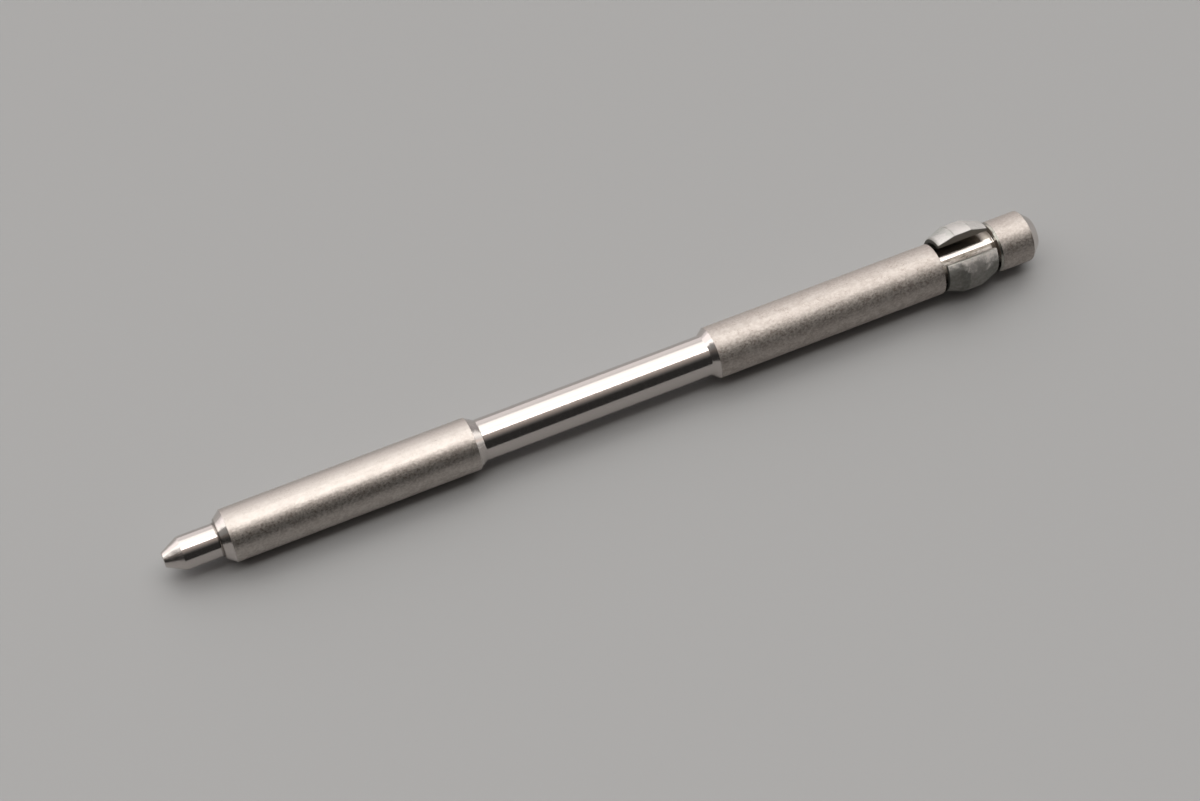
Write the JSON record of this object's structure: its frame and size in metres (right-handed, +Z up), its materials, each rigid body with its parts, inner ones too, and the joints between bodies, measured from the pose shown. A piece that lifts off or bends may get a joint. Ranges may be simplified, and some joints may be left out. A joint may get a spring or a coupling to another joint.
{
  "type": "brake caliper guide pin",
  "caption": "Stepped turned steel guide pin with a cone nose, a slim waist between its bearing lands, and a loose split spring sleeve held in a groove beside the head.",
  "frame": {"origin": "on the pin's axis, where the land beside the head ends and the sleeve's groove begins", "axes": "+X along the pin's axis towards the head, +Z up as the pin lies with the pin resting in the sleeve's bore"},
  "size_m": [0.1396, 0.0104, 0.0103],
  "materials": {
    "turned_steel": "tumbled matte on the lands and the head, bright turned on the nose, waist, chamfers and groove",
    "zinc_plated_spring_steel": "zinc plated, lightly scratched"
  },
  "bodies": {
    "pin": {"pin": "turned_steel"},
    "sleeve": {"spring_sleeve": "zinc_plated_spring_steel"}
  },
  "joints": [
    {"name": "sleeve_spin", "type": "hinge", "parent": "pin", "child": "sleeve", "pos_m": [0.0046, 0, 0.00073], "axis": [1, 0, 0], "continuous": true}
  ]
}
